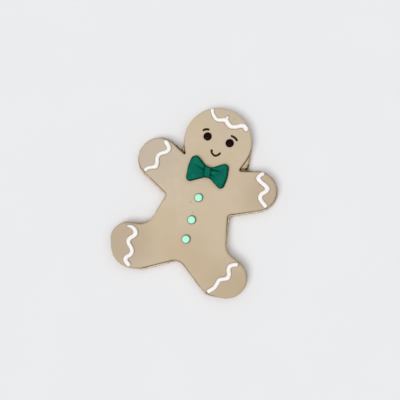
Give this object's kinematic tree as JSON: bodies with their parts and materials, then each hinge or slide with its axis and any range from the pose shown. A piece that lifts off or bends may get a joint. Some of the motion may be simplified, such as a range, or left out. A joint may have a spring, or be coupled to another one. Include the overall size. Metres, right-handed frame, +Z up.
{
  "type": "gingerbread man cookie",
  "caption": "Flat gingerbread man biscuit with a rolled tan icing sheet, a moulded green bow tie, mint buttons, a drawn smiling face and piped white zigzags on head, hands and feet.",
  "frame": {"origin": "under the middle of the biscuit's bounding box, on the surface it lies on", "axes": "+Z up through the iced side, +Y from the feet towards the head, +X to the viewer's right looking down on the iced side"},
  "size_m": [0.0978, 0.1218, 0.0136],
  "materials": {
    "baked_dough": "dry baked biscuit, browned at the edge",
    "tan_paste": "smooth matte sugar paste",
    "green_paste": "moulded satin sugar paste",
    "mint_sugar": "smooth set icing",
    "black_icing": "smooth set icing",
    "brown_ink": "edible ink line",
    "white_icing": "set royal icing, satin"
  },
  "bodies": {
    "root": {"biscuit": "baked_dough", "fondant": "tan_paste", "bow_tie": "green_paste", "button_top": "mint_sugar", "button_middle": "mint_sugar", "button_bottom": "mint_sugar", "eye_left": "black_icing", "eye_right": "black_icing", "brow_left": "brown_ink", "brow_right": "brown_ink", "smile": "brown_ink", "icing_head": "white_icing", "icing_hand_left": "white_icing", "icing_hand_right": "white_icing", "icing_foot_left": "white_icing", "icing_foot_right": "white_icing"}
  },
  "joints": []
}
